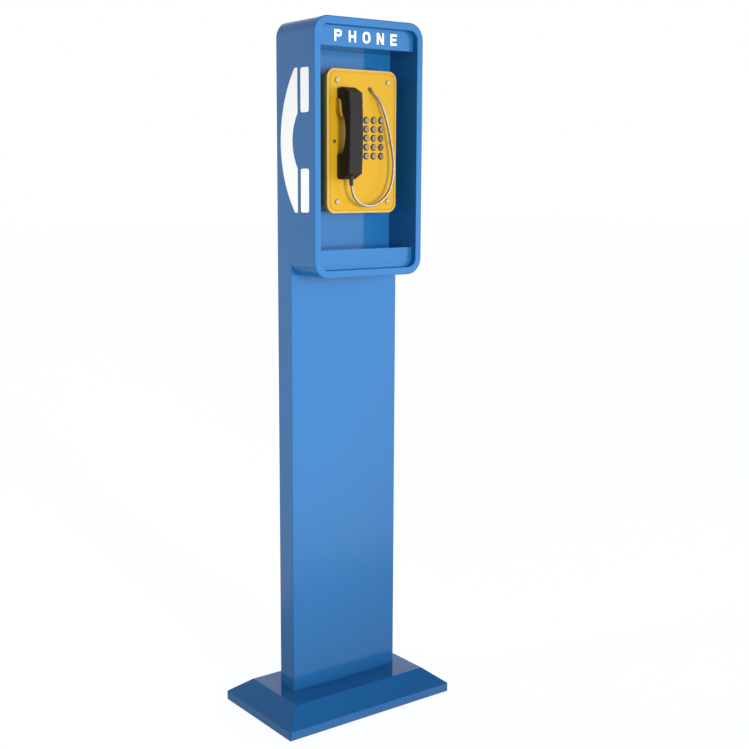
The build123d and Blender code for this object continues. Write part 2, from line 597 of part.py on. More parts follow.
def build_hook():
    """Cradle with two lugs under the ear block, and the sprung lever that the handset holds down."""
    cradle = rounded_plate(CRADLE_WIDTH, CRADLE_TOP - CRADLE_BOTTOM, 8, PHONE_FACE - CRADLE_PAD, PHONE_FACE,
                           x=HANDSET_X, z=(CRADLE_TOP + CRADLE_BOTTOM) / 2)
    cradle -= lever_opening(PHONE_FACE - CRADLE_PAD - 1, PHONE_FACE + 1)
    for centre in (HANDSET_X - LUG_OFFSET, HANDSET_X + LUG_OFFSET):
        cradle += side_profile(centre - LUG_WIDTH / 2, centre + LUG_WIDTH / 2, LUG_OUTLINE)
    nodes["cradle"] = cradle

    x0, x1 = LEVER_SIDES
    lever = rod_x(HOOK_PIVOT_Y, HOOK_PIVOT_Z, x0, x1, 5)
    lever += side_profile(x0, x1, [(-84, 1508.5), (-100, 1513.5), (-116.5, 1521.5), (-116.5, 1525.5),
                                   (-99, 1518.5), (-84, 1515.5)])
    lever += side_profile(x0, x1, [(-84, 1515), (-73, 1512), (-73, 1509), (-84, 1509)])
    lever -= rod_x(HOOK_PIVOT_Y, HOOK_PIVOT_Z, -70, -40, HOOK_PIN_RADIUS + 0.05)
    nodes["hook_lever"] = lever

    bracket = block(-68, -40, LID_INSIDE, LID_INSIDE + 2, 1486, 1531) - block(-61, -49, -97, -93, 1506, 1528)
    for x in (-64, -47):
        bracket += block(x - 1, x + 1, LID_INSIDE + 1, -78, 1504, 1520)
    bracket -= rod_x(HOOK_PIVOT_Y, HOOK_PIVOT_Z, -70, -40, HOOK_PIN_RADIUS + 0.02)
    nodes["hook_bracket"] = bracket

    pin = rod_x(HOOK_PIVOT_Y, HOOK_PIVOT_Z, -66.5, -45, HOOK_PIN_RADIUS)
    nodes["hook_pin"] = pin + rod_x(HOOK_PIVOT_Y, HOOK_PIVOT_Z, -45, -43.5, 3.2)

    coil = Helix(pitch=1.1, height=3.3, radius=3.1, center=(0, 0, 0), direction=(1, 0, 0))
    wire_section = Plane(origin=coil @ 0, z_dir=coil % 0) * Circle(0.45)
    nodes["hook_spring"] = Pos(-52, HOOK_PIVOT_Y, HOOK_PIVOT_Z) * sweep(wire_section, coil)

    switch = block(-62, -50, LID_INSIDE + 2, -70, 1490, 1500) + block(-58, -54, -80, -74, 1500, 1504)
    nodes["hook_switch"] = switch


# ---------------------------------------------------------------- handset
def corner_arc(x, y, z, radius, toward_z):
    """Round corner at the faceplate side of a block, from its back edge to its end face or the reverse."""
    middle = radius * (1 - cos(radians(45)))
    back_end = (x, y, z - toward_z * radius)
    face_end = (x, y - radius, z)
    return ThreePointArc(back_end, (x, y - middle, z - toward_z * middle), face_end)


def handset_outline(x):
    """Closed side outline of the handset at one x, from the ear block round by the front."""
    ear_nose, mouth_nose = (x, *EAR_NOSE), (x, *MOUTH_NOSE)
    ear_corner = corner_arc(x, HANDSET_BACK, EAR_TOP, EAR_CORNER, 1)
    mouth_corner = corner_arc(x, HANDSET_BACK, MOUTH_BOTTOM, MOUTH_CORNER, -1)
    mouth_shoulder = corner_arc(x, HANDSET_BACK, MOUTH_TOP, MOUTH_CORNER, 1)
    neck_top, neck_bottom = (x, -117, EAR_BOTTOM), (x, -121, 1489)
    grip_end = (x, BLOCK_FRONT, MOUTH_TOP + 2)
    return Wire([
        Line((x, HANDSET_BACK, EAR_BOTTOM), ear_corner @ 0),
        ear_corner,
        Line(ear_corner @ 1, (x, BLOCK_FRONT, EAR_TOP)),
        Line((x, BLOCK_FRONT, EAR_TOP), ear_nose),
        ThreePointArc(ear_nose, (x, GRIP_FRONT, (EAR_NOSE[1] + MOUTH_NOSE[1]) / 2), mouth_nose),
        Line(mouth_nose, (x, BLOCK_FRONT, MOUTH_BOTTOM)),
        Line((x, BLOCK_FRONT, MOUTH_BOTTOM), mouth_corner @ 1),
        mouth_corner,
        Line(mouth_corner @ 0, mouth_shoulder @ 0),
        mouth_shoulder,
        Line(mouth_shoulder @ 1, grip_end),
        ThreePointArc(grip_end, (x, GRIP_BACK, 1445), neck_bottom),
        ThreePointArc(neck_bottom, (x, -117.8, 1507), neck_top),
        Line(neck_top, (x, HANDSET_BACK, EAR_BOTTOM)),
    ])


def build_boot(body):
    """Tapered, ribbed strain relief along the cord's last stretch; body is the solid handset."""
    end = Vector(*CORD_ROUTE[-1])
    axis = (end - Vector(*CORD_ROUTE[-2])).normalized()

    def disc(rise, radius):
        """Circle across the boot's axis."""
        return Plane(origin=end + axis * rise, z_dir=axis) * Circle(radius)

    cone = loft([disc(0, BOOT_END_RADIUS), disc(BOOT_LENGTH, BOOT_ROOT_RADIUS)])
    for rise in BOOT_RIBS:
        cone -= extrude(disc(rise, 10) - disc(rise, BOOT_END_RADIUS - 0.3), 1.3, dir=axis)
    stem = extrude(disc(22, 4), BOOT_LENGTH - 14, dir=axis)
    return (cone - body) + (stem & body), stem


def build_handset():
    """Handset shell with its caps, capsules and strain-relief boot."""
    x0 = HANDSET_X - HANDSET_WIDTH / 2
    body = extrude(Face(handset_outline(x0)), HANDSET_WIDTH, dir=(1, 0, 0))
    body = fillet(edges_at(body, "X", x0) + edges_at(body, "X", x0 + HANDSET_WIDTH), HANDSET_ROUNDING)

    ear_z = (EAR_BOTTOM + EAR_TOP - 1) / 2
    mouth_z = (MOUTH_TOP + MOUTH_BOTTOM) / 2
    shell = body
    for z, radius in ((ear_z, 8.5), (mouth_z, 15)):
        shell -= rod_y(HANDSET_X, z, HANDSET_BACK - 22, HANDSET_BACK + 1, radius)
    shell -= rod_z(HANDSET_X, -136, mouth_z, ear_z, 3)
    for z in (ear_z, mouth_z):
        shell -= rod_y(HANDSET_X, z, -139, HANDSET_BACK - 10, 3)
    nodes["handset_boot"], stem = build_boot(body)
    nodes["handset_shell"] = shell - stem

    for name, z, radius, ring in (("earpiece_cap", ear_z, 8.4, 4.2), ("mouthpiece_cap", mouth_z, 14.9, 9)):
        cap = rod_y(HANDSET_X, z, HANDSET_BACK - 3, HANDSET_BACK - 0.3, radius)
        holes = [(HANDSET_X, z)]
        for place in range(6):
            angle = radians(60 * place)
            holes.append((HANDSET_X + ring * cos(angle), z + ring * sin(angle)))
        for hole_x, hole_z in holes:
            cap -= rod_y(hole_x, hole_z, HANDSET_BACK - 4, HANDSET_BACK + 1, 0.9)
        nodes[name] = cap
    nodes["receiver_capsule"] = rod_y(HANDSET_X, ear_z, HANDSET_BACK - 13, HANDSET_BACK - 3.5, 8.2)
    nodes["microphone_capsule"] = rod_y(HANDSET_X, mouth_z, HANDSET_BACK - 12, HANDSET_BACK - 3.5, 12)


def build_cord():
    """Armoured cord hanging in a loop between the ferrule and the boot."""
    points = [Vector(*point) for point in CORD_ROUTE]
    radii = []
    for before, corner, after in zip(points, points[1:], points[2:]):
        turn = (corner - before).get_angle(after - corner)
        shorter = min((corner - before).length, (after - corner).length)
        radii.append(0.45 * shorter / tan(radians(turn / 2)))
    print("cord radii", [round(radius, 1) for radius in radii])
    path = FilletPolyline(*points, radius=radii)
    start = Plane(origin=path @ 0, z_dir=path % 0)
    tube = sweep(start * Circle(CORD_RADIUS), path)
    print("cord length", round(path.length, 1), "volume", round(tube.volume, 1),
          "section times length", round(pi * CORD_RADIUS ** 2 * path.length, 1))
    nodes["armoured_cord"] = tube

    direction = (points[1] - points[0]).normalized()
    spout_root = Plane(origin=points[0] - direction * SPOUT_LENGTH, z_dir=direction)
    spout = extrude(spout_root * Circle(FERRULE_RADIUS - 0.6), SPOUT_LENGTH)
    dome = Pos(*FERRULE_CENTRE) * Sphere(FERRULE_RADIUS)
    x, y, z = FERRULE_CENTRE
    nose = (spout + dome) & block(x - 20, x + 20, y - 20, y, z - 20, z + 20)
    nodes["cord_ferrule"] = nose + rod_y(x, z, y, LID_INSIDE + 5, FERRULE_RADIUS)


build_base()
build_column()
build_hood()
build_signs()
build_phone_case()
build_keypad()
build_hook()
build_handset()
build_cord()

os.makedirs("parts", exist_ok=True)
for name, part in nodes.items():
    export_step(part, f"parts/{name}.step")
print(len(nodes), "nodes")
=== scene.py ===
import json
from math import cos, radians, sin, tau

import bpy
import numpy as np
from mathutils import Matrix, Vector


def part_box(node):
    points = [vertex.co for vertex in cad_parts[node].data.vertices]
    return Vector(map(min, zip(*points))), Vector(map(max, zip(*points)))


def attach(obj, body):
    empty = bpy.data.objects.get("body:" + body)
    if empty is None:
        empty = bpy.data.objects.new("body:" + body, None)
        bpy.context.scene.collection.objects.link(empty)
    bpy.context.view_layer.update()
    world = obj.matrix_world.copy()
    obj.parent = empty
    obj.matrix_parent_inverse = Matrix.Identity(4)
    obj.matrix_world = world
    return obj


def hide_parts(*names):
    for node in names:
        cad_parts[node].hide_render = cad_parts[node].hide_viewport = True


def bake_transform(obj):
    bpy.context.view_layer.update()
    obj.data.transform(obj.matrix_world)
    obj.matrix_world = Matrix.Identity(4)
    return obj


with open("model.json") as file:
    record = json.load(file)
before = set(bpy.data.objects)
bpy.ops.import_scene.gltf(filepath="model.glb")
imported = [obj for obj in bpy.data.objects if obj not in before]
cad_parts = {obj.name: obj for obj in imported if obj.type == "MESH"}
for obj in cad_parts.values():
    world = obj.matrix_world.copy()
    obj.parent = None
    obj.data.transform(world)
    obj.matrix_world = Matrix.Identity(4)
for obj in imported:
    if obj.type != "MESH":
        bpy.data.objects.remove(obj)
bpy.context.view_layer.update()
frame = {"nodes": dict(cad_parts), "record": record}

NODES = frame["nodes"]

# ---------------------------------------------------------------- sizes in metres
CORD_RADIUS = 0.00325
CORD_ROUTE = (
    (0.024, -0.1025, 1.5455), (0.0305, -0.107, 1.537), (0.0405, -0.113, 1.5225), (0.049, -0.117, 1.5015),
    (0.0615, -0.12, 1.462), (0.0695, -0.1215, 1.4205), (0.0765, -0.1225, 1.3795), (0.0725, -0.1235, 1.34),
    (0.059, -0.1245, 1.304), (0.0235, -0.1255, 1.2795), (-0.008, -0.126, 1.276), (-0.032, -0.1265, 1.285),
    (-0.0452, -0.127, 1.298), (-0.0518, -0.1273, 1.311), (-0.0533, -0.1275, 1.325),
)
STRIP_PITCH = 0.0030
STRIP_DEPTH = 0.00042

LEGEND_SIZE = 0.0072
LEGEND_RELIEF = 0.00015
LEGEND_DEPTH = 0.00026

# The faceplate's corner radius, and how far in and how far back its pale rim, a painted highlight, is full
# and then faint.
PLATE_RADIUS = 0.022
RIM_FAINT_INSET = 0.0034
RIM_FULL_INSET = 0.0012
RIM_FULL_DEPTH = 0.0045
RIM_FAINT_DEPTH = 0.006

DUST_HEIGHT = 0.05
FLOOR_SIZE = 60

# ---------------------------------------------------------------- fineness of the cord's mesh
CORD_SPOKES = 28
RINGS_PER_PITCH = 8
GROOVE_SHARPNESS = 6

# ---------------------------------------------------------------- camera and studio
CAMERA_PLACE = (-1.7351, -2.4083, 1.3341)
CAMERA_YAW = 35.77
CAMERA_PITCH = 8.96
CAMERA_LENS = 57.3
SENSOR_WIDTH = 36
CAMERA_SHIFT = (0.0484, -0.0065)

STUDIO_STRENGTH = 1.85
# The studio's light by slope above the horizon: stops from the lowest slope to the highest, each with a grey
# or a colour.
SLOPE_RANGE = (-1.0, 3.0)
STUDIO_STOPS = (
    (0.0, 0.42), (0.147, 0.46), (0.153, 0.97), (0.31, 1.0),
    (0.3825, (0.54, 0.58, 0.66)), (0.42, (0.40, 0.46, 0.58)), (0.5, (0.17, 0.21, 0.28)),
    (0.58, (0.05, 0.065, 0.09)), (1.0, (0.035, 0.045, 0.065)),
)
# The back edge of the studio's floor is this much nearer than its other edges.
BACK_FLOOR_EDGE = 1.09
# Shares of the strength that are left towards three corners.
FRONT_LEFT_SHARE = 0.35
BACK_LEFT_SHARE = 0.74
FRONT_RIGHT_SHARE = 1.45
FLOOR_GREY = 0.2
FLOOR_GLOW = 0.9

# ---------------------------------------------------------------- coats
YELLOW = (0.475, 0.265, 0.004)
YELLOW_SHADE = (0.455, 0.253, 0.0035)
SATIN = {"roughness": 0.30, "specular": 0.2, "peel": 0.00003}
# Strength of the highlight painted along the faceplate's rim.
RIM_HIGHLIGHT = 0.7
DUST_COLOUR = (0.30, 0.30, 0.29)


# ---------------------------------------------------------------- camera, light and floor
def build_camera():
    """Camera at the standing customer's left, looking slightly down."""
    data = bpy.data.cameras.new("camera")
    data.lens = CAMERA_LENS
    data.sensor_width = SENSOR_WIDTH
    data.shift_x, data.shift_y = CAMERA_SHIFT
    data.clip_end = FLOOR_SIZE
    camera = bpy.data.objects.new("camera", data)
    camera.location = CAMERA_PLACE
    camera.rotation_euler = (radians(90 - CAMERA_PITCH), 0, radians(-CAMERA_YAW))
    bpy.context.scene.collection.objects.link(camera)
    bpy.context.scene.camera = camera


def studio_level(tree, axes):
    """Place on the studio's ramp: the slope of each direction, seen against a room with straight walls."""
    across = tree.math("ABSOLUTE", axes["X"])
    forward = tree.math("MULTIPLY", axes["Y"], -1.0)
    backward = tree.math("MULTIPLY", axes["Y"], BACK_FLOOR_EDGE)
    reach = tree.math("MAXIMUM", across, tree.math("MAXIMUM", forward, backward))
    slope = tree.math("DIVIDE", axes["Z"], reach)
    return tree.span(slope, 0.0, 1.0, *SLOPE_RANGE)


def studio_strength(tree, axes):
    """Strength of each direction: dim at the front left, rising from back left to front right."""
    diagonal = sin(radians(45))
    front_left = tree.math("MULTIPLY", tree.math("ADD", axes["X"], axes["Y"]), -diagonal)
    front_right = tree.math("MULTIPLY", tree.math("SUBTRACT", axes["X"], axes["Y"]), diagonal)
    dimmer = tree.span(front_left, 1.0, FRONT_LEFT_SHARE, 0.2, 0.6)
    tilt = tree.span(front_right, BACK_LEFT_SHARE, FRONT_RIGHT_SHARE, -0.6, 0.6)
    return tree.math("MULTIPLY", tree.math("MULTIPLY", dimmer, tilt), STUDIO_STRENGTH)


def build_world():
    """White backdrop for the camera, and a studio for everything else.

    The studio has a grey floor that ends in straight edges, is brightest above them, and turns bluish and
    then dark overhead.
    """
    world = bpy.data.worlds.new("studio")
    world.use_nodes = True
    bpy.context.scene.world = world
    tree = Tree(world.node_tree)
    world.node_tree.nodes.clear()
    direction = tree.add("ShaderNodeTexCoord").outputs["Generated"]
    axes = tree.add("ShaderNodeSeparateXYZ", Vector=direction).outputs
    colour = tree.ramp(studio_level(tree, axes), STUDIO_STOPS)
    lit = tree.add("ShaderNodeBackground", Color=colour, Strength=studio_strength(tree, axes)).outputs[0]
    backdrop = tree.add("ShaderNodeBackground", Color=(1, 1, 1, 1), Strength=1.0).outputs[0]
    seen = tree.add("ShaderNodeLightPath").outputs["Is Camera Ray"]
    mix = tree.add("ShaderNodeMixShader", Fac=seen)
    tree.link(lit, mix.inputs[1])
    tree.link(backdrop, mix.inputs[2])
    output = tree.add("ShaderNodeOutputWorld")
    tree.link(mix.outputs[0], output.inputs["Surface"])


def build_spotlight(name, place, target, radius, cone, softness, power):
    """One round lamp that reflections don't see.

    cone is the beam's full angle in degrees, and softness the share of it that fades.
    """
    data = bpy.data.lights.new(name, "SPOT")
    data.shadow_soft_size = radius
    data.spot_size = radians(cone)
    data.spot_blend = softness
    data.energy = power
    light = bpy.data.objects.new(name, data)
    light.location = place
    light.rotation_euler = (Vector(target) - Vector(place)).to_track_quat("-Z", "Y").to_euler()
    light.visible_glossy = False
    bpy.context.scene.collection.objects.link(light)


def build_floor():
    """Pale floor that catches a soft contact shadow."""
    bpy.ops.mesh.primitive_plane_add(size=FLOOR_SIZE, location=(0, 0, 0))
    floor = bpy.context.object
    floor.name = "studio_floor"
    material = bpy.data.materials.new("studio_floor")
    material.use_nodes = True
    surface = Tree(material.node_tree).find("Principled BSDF")
    surface.inputs["Base Color"].default_value = (FLOOR_GREY, FLOOR_GREY, FLOOR_GREY, 1)
    surface.inputs["Roughness"].default_value = 0.9
    surface.inputs["Specular IOR Level"].default_value = 0.0
    surface.inputs["Emission Color"].default_value = (1, 1, 1, 1)
    surface.inputs["Emission Strength"].default_value = FLOOR_GLOW
    floor.data.materials.append(material)
    floor.visible_diffuse = False
    floor.visible_glossy = False
    floor.visible_shadow = False


# ---------------------------------------------------------------- material helpers
class Tree:
    """Short way to write a node tree."""

    def __init__(self, node_tree):
        self.nodes = node_tree.nodes
        self.links = node_tree.links

    def find(self, name):
        return self.nodes[name]

    def link(self, source, target):
        self.links.new(source, target)

    def fill(self, socket, value):
        """Links an output socket to an input socket, or sets its value."""
        if isinstance(value, bpy.types.NodeSocket):
            self.links.new(value, socket)
        else:
            socket.default_value = value

    def add(self, kind, settings=None, **inputs):
        """New node. Inputs are values or output sockets, with _ for a space in a socket's name."""
        node = self.nodes.new(kind)
        for key, value in (settings or {}).items():
            setattr(node, key, value)
        for key, value in inputs.items():
            self.fill(node.inputs[key.replace("_", " ")], value)
        return node

    def ramp(self, factor, stops):
        """Colour ramp of (position, grey or colour) stops."""
        node = self.add("ShaderNodeValToRGB", Fac=factor)
        elements = node.color_ramp.elements
        while len(elements) < len(stops):
            elements.new(0.5)
        for element, (position, value) in zip(elements, stops):
            element.position = position
            element.color = (*value, 1) if isinstance(value, tuple) else (value, value, value, 1)
        return node.outputs["Color"]

    def noise(self, vector, scale, detail=3.0, roughness=0.5):
        """Grey noise from 0 to 1."""
        return self.add("ShaderNodeTexNoise", Vector=vector, Scale=scale, Detail=detail,
                        Roughness=roughness).outputs["Fac"]

    def cells(self, vector, scale, output="Distance"):
        """Distance from the middle of the nearest cell, or the cell's own colour."""
        return self.add("ShaderNodeTexVoronoi", Vector=vector, Scale=scale).outputs[output]

    def blend(self, factor, first, second):
        """Colour mix of two colours or sockets."""
        node = self.add("ShaderNodeMix", {"data_type": "RGBA"})
        self.fill(node.inputs[0], factor)
        for socket, value in ((node.inputs[6], first), (node.inputs[7], second)):
            self.fill(socket, (*value, 1) if isinstance(value, tuple) else value)
        return node.outputs[2]

    def span(self, value, low, high, start=0.0, end=1.0):
        """value, from start..end, mapped to low..high and clamped."""
        return self.add("ShaderNodeMapRange", Value=value, From_Min=start, From_Max=end, To_Min=low,
                        To_Max=high).outputs["Result"]

    def math(self, operation, first, second=0.5):
        """One math node; second is for operations on two numbers."""
        node = self.add("ShaderNodeMath", {"operation": operation})
        for socket, value in zip(node.inputs, (first, second)):
            self.fill(socket, value)
        return node.outputs[0]

    def vector(self, operation, first, second=(0, 0, 0)):
        """Outputs of one vector math node; second is for operations on two vectors."""
        node = self.add("ShaderNodeVectorMath", {"operation": operation})
        for socket, value in zip(node.inputs, (first, second)):
            self.fill(socket, value)
        return node.outputs

    def bump(self, height, distance, strength=1.0, normal=None):
        """Bump normal; distance is the relief in metres."""
        node = self.add("ShaderNodeBump", Height=height, Distance=distance, Strength=strength)
        if normal is not None:
            self.links.new(normal, node.inputs["Normal"])
        return node.outputs["Normal"]

    def dress(self, colour, roughness, normal):
        """Links to the shader what varies over the surface."""
        surface = self.find("Principled BSDF")
        self.link(colour, surface.inputs["Base Color"])
        self.link(roughness, surface.inputs["Roughness"])
        self.link(normal, surface.inputs["Normal"])


def new_material(name, **shader):
    """Material, its tree and its object coordinates in metres; shader holds uniform values."""
    material = bpy.data.materials.new(name)
    material.use_nodes = True
    tree = Tree(material.node_tree)
    surface = tree.find("Principled BSDF")
    for key, value in shader.items():
        surface.inputs[key.replace("_", " ")].default_value = value
    return material, tree, tree.add("ShaderNodeTexCoord").outputs["Object"]


def edge_mask(tree, radius):
    """1 along sharp edges within radius of them, and 0 on flat faces, with the rounded normal."""
    rounded = tree.add("ShaderNodeBevel", {"samples": 6}, Radius=radius).outputs["Normal"]
    flat = tree.add("ShaderNodeNewGeometry").outputs["Normal"]
    facing = tree.vector("DOT_PRODUCT", rounded, flat)["Value"]
    return tree.span(facing, 1.0, 0.0, 0.85, 0.995), rounded


def dust_mask(tree, place):
    """Share of dust, in patches near the floor."""
    height = tree.add("ShaderNodeSeparateXYZ", Vector=place).outputs["Z"]
    low = tree.span(height, 1.0, 0.0, 0.0, DUST_HEIGHT)
    patches = tree.span(tree.noise(place, 28.0, 6.0, 0.65), 0.0, 0.06, 0.45, 0.8)
    return tree.math("MULTIPLY", low, patches)


def faceplate_rim(tree, place):
    """1 on the faceplate's rounded front edge, where its highlight is painted, fading out towards its face
    and its sides.
    """
    low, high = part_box("phone_faceplate")
    axes = tree.add("ShaderNodeSeparateXYZ", Vector=place).outputs
    squares = []
    for axis, lowest, highest in (("X", low[0], high[0]), ("Z", low[2], high[2])):
        offset = tree.math("ABSOLUTE", tree.math("SUBTRACT", axes[axis], (lowest + highest) / 2))
        straight = (highest - lowest) / 2 - PLATE_RADIUS
        past = tree.math("MAXIMUM", tree.math("SUBTRACT", offset, straight), 0.0)
        squares.append(tree.math("MULTIPLY", past, past))
    reach = tree.math("SQRT", tree.math("ADD", squares[0], squares[1]))
    outline = tree.span(reach, 0.0, 1.0, PLATE_RADIUS - RIM_FAINT_INSET, PLATE_RADIUS - RIM_FULL_INSET)
    front = tree.span(axes["Y"], 1.0, 0.0, low[1] + RIM_FULL_DEPTH, low[1] + RIM_FAINT_DEPTH)
    return tree.math("MULTIPLY", outline, front)


# ---------------------------------------------------------------- materials
def painted_steel(name, colour, shade, worn, roughness, specular, peel, edge=0.0012, wear_and_highlight=0.45, rim=None):
    """Powder-coated sheet: cloudy colour, worn flecks, orange peel, and dust low down.

    peel is the orange peel's relief in metres. Within edge of a sharp corner the coat is rubbed towards worn,
    in patches, by up to the wear share; set high with a pale worn colour, this is a painted highlight.
    rim is a mask of a highlight painted along a rounded edge, blended towards worn.
    """
    material, tree, place = new_material(name, Specular_IOR_Level=specular)
    cloud = tree.ramp(tree.noise(place, 2.4, 4.0, 0.55), [(0.3, 0.0), (0.7, 1.0)])
    base = tree.blend(cloud, colour, shade)
    fleck = tree.span(tree.noise(place, 900.0, 2.0), 0.0, 0.07, 0.45, 0.8)
    base = tree.blend(fleck, base, worn)
    dust = dust_mask(tree, place)
    base = tree.blend(dust, base, DUST_COLOUR)
    # Pale rubbed edges: wear, and for the cradle mostly a painted highlight.
    edges, rounded = edge_mask(tree, edge)
    patches = tree.span(tree.noise(place, 60.0, 5.0), 0.1 * wear_and_highlight, wear_and_highlight, 0.35, 0.75)
    base = tree.blend(tree.math("MULTIPLY", edges, patches), base, worn)
    # Painted highlight: a pale band blended towards worn along a rounded rim.
    if rim:
        base = tree.blend(tree.math("MULTIPLY", rim(tree, place), RIM_HIGHLIGHT), base, worn)
    smear = tree.span(tree.noise(place, 9.0, 5.0, 0.6), roughness * 0.85, roughness * 1.2, 0.3, 0.7)
    rough = tree.math("ADD", smear, tree.math("MULTIPLY", dust, 0.9))
    grain = tree.bump(tree.noise(place, 420.0, 2.0, 0.4), peel, normal=rounded)
    wave = tree.bump(tree.noise(place, 34.0, 1.0, 0.4), peel * 2.0, normal=grain)
    tree.dress(base, rough, wave)
    return material


def blue_paint():
    """Glossy blue of the booth's sheet metal."""
    return painted_steel("blue_powder_coat", (0.014, 0.128, 0.340), (0.012, 0.120, 0.320),
                         worn=(0.07, 0.22, 0.44), roughness=0.09, specular=0.25, peel=0.000012)


def yellow_paint():
    """Satin yellow of the telephone's back box."""
    return painted_steel("yellow_powder_coat", YELLOW, YELLOW_SHADE, worn=(0.72, 0.54, 0.20), **SATIN)


def faceplate_paint():
    """The same yellow, with a highlight painted as a pale rim round the faceplate."""
    # worn here is also the colour of the highlight painted on the rim.
    return painted_steel("highlight_rimmed_yellow_coat", YELLOW, YELLOW_SHADE, worn=(0.62, 0.50, 0.23),
                         rim=faceplate_rim, **SATIN)


def cradle_paint():
    """A slightly duller yellow, its edges painted pale: a little wear and mostly a painted highlight."""
    # Painted highlight: a pale worn colour and a high wear share light the cradle's edges.
    return painted_steel("highlight_edged_yellow_coat", (0.455, 0.256, 0.004), (0.435, 0.244, 0.0035),
                         worn=(0.82, 0.68, 0.40), edge=0.002, wear_and_highlight=0.95, **SATIN)


def white_vinyl():
    """Cut film: faint mottling, tiny bubbles and a satin face."""
    material, tree, place = new_material("white_vinyl", Coat_Weight=0.1, Coat_Roughness=0.2)
    mottle = tree.blend(tree.noise(place, 40.0, 4.0), (0.97, 0.98, 0.97), (0.93, 0.94, 0.93))
    rough = tree.span(tree.noise(place, 15.0, 3.0), 0.28, 0.42)
    bubbles = tree.span(tree.cells(place, 150.0), 1.0, 0.0, 0.0, 0.12)
    tree.dress(mottle, rough, tree.bump(bubbles, 0.00002))
    return material


def black_plastic():
    """Moulded handset plastic: spark-eroded grain, handling shine and pale rubbed edges."""
    material, tree, place = new_material("black_handset_plastic", Specular_IOR_Level=0.17)
    base = tree.blend(tree.noise(place, 22.0, 4.0), (0.009, 0.009, 0.010), (0.014, 0.013, 0.013))
    edges, rounded = edge_mask(tree, 0.0016)
    patches = tree.span(tree.noise(place, 120.0, 4.0), 0.1, 0.6, 0.35, 0.7)
    base = tree.blend(tree.math("MULTIPLY", edges, patches), base, (0.04, 0.04, 0.04))
    shine = tree.span(tree.noise(place, 35.0, 5.0, 0.6), 0.36, 0.52, 0.3, 0.7)
    tree.dress(base, shine, tree.bump(tree.cells(place, 1500.0), 0.00004, 0.8, rounded))
    return material


def dark_plastic():
    """Plain moulded plastic of bezels and switch cases."""
    material, tree, place = new_material("dark_moulded_plastic")
    base = tree.blend(tree.noise(place, 60.0), (0.050, 0.043, 0.034), (0.078, 0.068, 0.054))
    rough = tree.span(tree.noise(place, 90.0), 0.45, 0.65)
    tree.dress(base, rough, tree.bump(tree.noise(place, 1800.0, 2.0), 0.00003))
    return material


def black_rubber():
    """Matt rubber with a dry bloom and a fine pebble."""
    material, tree, place = new_material("black_rubber", Sheen_Weight=0.15)
    bloom = tree.ramp(tree.noise(place, 70.0, 5.0, 0.65), [(0.4, 0.0), (0.75, 1.0)])
    base = tree.blend(bloom, (0.012, 0.012, 0.012), (0.035, 0.034, 0.033))
    tree.dress(base, tree.span(bloom, 0.62, 0.82), tree.bump(tree.cells(place, 1100.0), 0.00006))
    return material


def turned_steel():
    """Stainless keys turned on their own centres, with rings and a dark rim of painted shade that follow each
    key's box.
    """
    material, tree, place = new_material("turned_stainless", Metallic=1.0)
    share = place.node.outputs["Generated"]
    centred = tree.vector("SUBTRACT", share, (0.5, 0.5, 0.5))["Vector"]
    flat = tree.vector("MULTIPLY", centred, (1, 0, 1))["Vector"]
    radius = tree.vector("LENGTH", flat)["Value"]
    lines = tree.add("ShaderNodeTexNoise", {"noise_dimensions": "1D"}, W=radius, Scale=90.0,
                     Detail=3.0).outputs["Fac"]
    base = tree.blend(lines, (0.19, 0.158, 0.100), (0.285, 0.24, 0.155))
    stain = tree.span(tree.noise(place, 130.0, 4.0), 0.0, 0.45, 0.5, 0.85)
    base = tree.blend(stain, base, (0.12, 0.105, 0.085))
    # Painted shade: the key's face darkens in a rim towards its edge.
    rim = tree.span(radius, 0.0, 0.85, 0.30, 0.38)
    base = tree.blend(rim, base, (0.15, 0.125, 0.088))
    tree.dress(base, tree.span(lines, 0.24, 0.42), tree.bump(lines, 0.00003))
    return material


def bright_steel():
    """Polished screw heads and the hook lever, with hairline scratches."""
    material, tree, place = new_material("bright_steel", Metallic=1.0)
    stretched = tree.add("ShaderNodeMapping", Vector=place, Scale=(1.0, 1.0, 14.0)).outputs[0]
    hair = tree.noise(stretched, 160.0, 4.0)
    base = tree.blend(hair, (0.38, 0.34, 0.25), (0.50, 0.45, 0.35))
    tree.dress(base, tree.span(hair, 0.22, 0.36), tree.bump(hair, 0.00002))
    return material


def bronzed_steel():
    """Security screws and cord ferrule, bronzed and patchy."""
    material, tree, place = new_material("bronzed_steel", Metallic=1.0)
    patch = tree.noise(place, 400.0, 4.0)
    base = tree.blend(patch, (0.26, 0.21, 0.15), (0.40, 0.33, 0.24))
    tree.dress(base, tree.span(patch, 0.35, 0.6), tree.bump(patch, 0.00004))
    return material


def zinc_steel():
    """Zinc plate with spangle and dull patches."""
    material, tree, place = new_material("zinc_plate", Metallic=1.0)
    spangle = tree.cells(place, 90.0, "Color")
    grey = tree.add("ShaderNodeSeparateXYZ", Vector=spangle).outputs["X"]
    base = tree.blend(grey, (0.50, 0.52, 0.53), (0.66, 0.67, 0.66))
    dull = tree.ramp(tree.noise(place, 12.0, 6.0, 0.6), [(0.45, 0.0), (0.75, 1.0)])
    base = tree.blend(dull, base, (0.42, 0.41, 0.39))
    tree.dress(base, tree.span(grey, 0.32, 0.50), tree.bump(grey, 0.00003))
    return material


